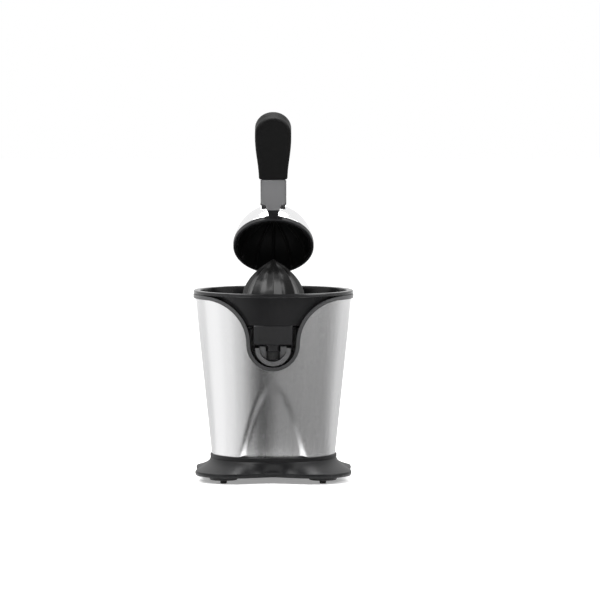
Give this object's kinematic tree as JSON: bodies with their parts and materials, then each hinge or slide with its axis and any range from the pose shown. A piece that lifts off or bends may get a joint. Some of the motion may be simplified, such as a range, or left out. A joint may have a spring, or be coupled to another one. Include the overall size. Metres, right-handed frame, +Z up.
{
  "type": "lever-arm citrus press juicer",
  "caption": "Upright citrus press: ribbed reamer over a strainer and juice bowl with tilting spout, hinged dome lever that presses the fruit down, tapered steel body on a flared base.",
  "frame": {"origin": "on the floor under the reamer's axis, at the middle of the body", "axes": "+Z up, -Y towards the spout, +X to the right seen from the spout"},
  "size_m": [0.195, 0.1947, 0.4495],
  "materials": {
    "arm_frame": "satin black paint",
    "armature": "enamelled copper winding",
    "base_moulding": "fine satin moulding",
    "base_screw_1": "bright",
    "base_screw_2": "bright",
    "base_screw_3": "bright",
    "base_screw_4": "bright",
    "bottom_cover": "fine satin moulding",
    "bracket_screw_left": "bright",
    "bracket_screw_right": "bright",
    "cooling_fan": "satin",
    "cord_gland": "matt",
    "dome_shell": "polished stainless steel",
    "drive_shaft": "bright",
    "gearbox_housing": "satin",
    "gearbox_lid": "satin",
    "gearbox_screw_1": "bright",
    "gearbox_screw_2": "bright",
    "gearbox_screw_3": "bright",
    "grip_lower": "soft-touch overmoulding",
    "grip_screw": "bright",
    "grip_upper": "soft-touch overmoulding",
    "hinge_bracket": "satin black paint",
    "hinge_pin": "bright",
    "inner_housing": "fine satin moulding",
    "intermediate_axle": "bright",
    "intermediate_gear": "natural acetal",
    "juice_bowl": "dark smoky, half gloss",
    "lower_bush": "sintered bronze",
    "microswitch_body": "fine satin moulding",
    "motor_can": "bright",
    "motor_cap_lower": "satin",
    "motor_cap_upper": "satin",
    "motor_shaft": "bright",
    "neck_insert": "satin",
    "neck_screw": "bright",
    "neck_shell": "polished stainless steel",
    "output_gear": "natural acetal",
    "press_cup": "fine satin moulding",
    "reamer_cone": "half gloss",
    "return_spring": "dark spring wire",
    "rubber_foot_front_left": "matt",
    "rubber_foot_front_right": "matt",
    "rubber_foot_rear_left": "matt",
    "rubber_foot_rear_right": "matt",
    "shaft_seal": "matt",
    "spout": "polished stainless steel",
    "spout_pin_left": "bright",
    "spout_pin_right": "bright",
    "spout_seal": "matt",
    "stator_core": "enamelled copper winding",
    "steel_shell": "brushed",
    "strainer": "half gloss",
    "switch_button": "natural acetal",
    "thrust_bracket": "bright",
    "thrust_cup": "natural acetal",
    "top_collar": "fine satin moulding",
    "torsion_spring": "dark spring wire",
    "upper_bush": "sintered bronze"
  },
  "bodies": {
    "housing": {"base_moulding": "base_moulding", "base_screw_1": "base_screw_1", "base_screw_2": "base_screw_2", "base_screw_3": "base_screw_3", "base_screw_4": "base_screw_4", "bottom_cover": "bottom_cover", "bracket_screw_left": "bracket_screw_left", "bracket_screw_right": "bracket_screw_right", "cord_gland": "cord_gland", "gearbox_housing": "gearbox_housing", "gearbox_lid": "gearbox_lid", "gearbox_screw_1": "gearbox_screw_1", "gearbox_screw_2": "gearbox_screw_2", "gearbox_screw_3": "gearbox_screw_3", "hinge_bracket": "hinge_bracket", "hinge_pin": "hinge_pin", "inner_housing": "inner_housing", "intermediate_axle": "intermediate_axle", "juice_bowl": "juice_bowl", "lower_bush": "lower_bush", "microswitch_body": "microswitch_body", "motor_can": "motor_can", "motor_cap_lower": "motor_cap_lower", "motor_cap_upper": "motor_cap_upper", "return_spring": "return_spring", "rubber_foot_front_left": "rubber_foot_front_left", "rubber_foot_front_right": "rubber_foot_front_right", "rubber_foot_rear_left": "rubber_foot_rear_left", "rubber_foot_rear_right": "rubber_foot_rear_right", "shaft_seal": "shaft_seal", "spout_pin_left": "spout_pin_left", "spout_pin_right": "spout_pin_right", "stator_core": "stator_core", "steel_shell": "steel_shell", "strainer": "strainer", "thrust_bracket": "thrust_bracket", "top_collar": "top_collar", "upper_bush": "upper_bush"},
    "arm": {"arm_frame": "arm_frame", "dome_shell": "dome_shell", "grip_lower": "grip_lower", "grip_screw": "grip_screw", "grip_upper": "grip_upper", "neck_insert": "neck_insert", "neck_screw": "neck_screw", "neck_shell": "neck_shell", "press_cup": "press_cup", "torsion_spring": "torsion_spring"},
    "spout": {"spout": "spout", "spout_seal": "spout_seal"},
    "press": {"thrust_cup": "thrust_cup"},
    "drive_shaft": {"drive_shaft": "drive_shaft"},
    "reamer": {"reamer_cone": "reamer_cone"},
    "output_gear": {"output_gear": "output_gear"},
    "intermediate_gear": {"intermediate_gear": "intermediate_gear"},
    "rotor": {"armature": "armature", "cooling_fan": "cooling_fan", "motor_shaft": "motor_shaft"},
    "switch_button": {"switch_button": "switch_button"}
  },
  "joints": [
    {"name": "arm_hinge", "type": "hinge", "parent": "housing", "child": "arm", "pos_m": [0, 0.08, 0.234], "axis": [-1, 0, 0], "range_deg": [-45, 0], "stiffness_Nm_per_rad": 0.5, "springref_deg": 108.86},
    {"name": "spout_tilt", "type": "hinge", "parent": "housing", "child": "spout", "pos_m": [0, -0.068, 0.1632], "axis": [1, 0, 0], "range_deg": [0, 5]},
    {"name": "press_slide", "type": "slide", "parent": "housing", "child": "press", "axis": [0, 0, 1], "range_m": [-0.0025, 0], "stiffness_N_per_m": 1500, "springref_m": 0.002, "deforming": ["return_spring"]},
    {"name": "shaft_spin", "type": "hinge", "parent": "press", "child": "drive_shaft", "pos_m": [0, 0, 0.1372], "axis": [0, 0, 1], "continuous": true},
    {"name": "reamer_lift", "type": "slide", "parent": "drive_shaft", "child": "reamer", "axis": [0, 0, 1], "range_m": [0, 0.045]},
    {"name": "output_gear_spin", "type": "hinge", "parent": "housing", "child": "output_gear", "pos_m": [0, 0, 0.1557], "axis": [0, 0, 1], "continuous": true},
    {"name": "intermediate_gear_spin", "type": "hinge", "parent": "housing", "child": "intermediate_gear", "pos_m": [-0.03377, 0.01949, 0.1557], "axis": [0, 0, 1], "continuous": true},
    {"name": "motor_spin", "type": "hinge", "parent": "housing", "child": "rotor", "pos_m": [-0.00816, 0.0395, 0.0654], "axis": [0, 0, 1], "continuous": true},
    {"name": "switch_button_slide", "type": "slide", "parent": "housing", "child": "switch_button", "axis": [0, 0, 1], "range_m": [-0.0025, 0]}
  ],
  "couplings": [
    {"joint": "output_gear_spin", "follows": "shaft_spin", "ratio": 1},
    {"joint": "intermediate_gear_spin", "follows": "shaft_spin", "ratio": -4},
    {"joint": "motor_spin", "follows": "shaft_spin", "ratio": 16},
    {"joint": "switch_button_slide", "follows": "press_slide", "ratio": 1}
  ]
}
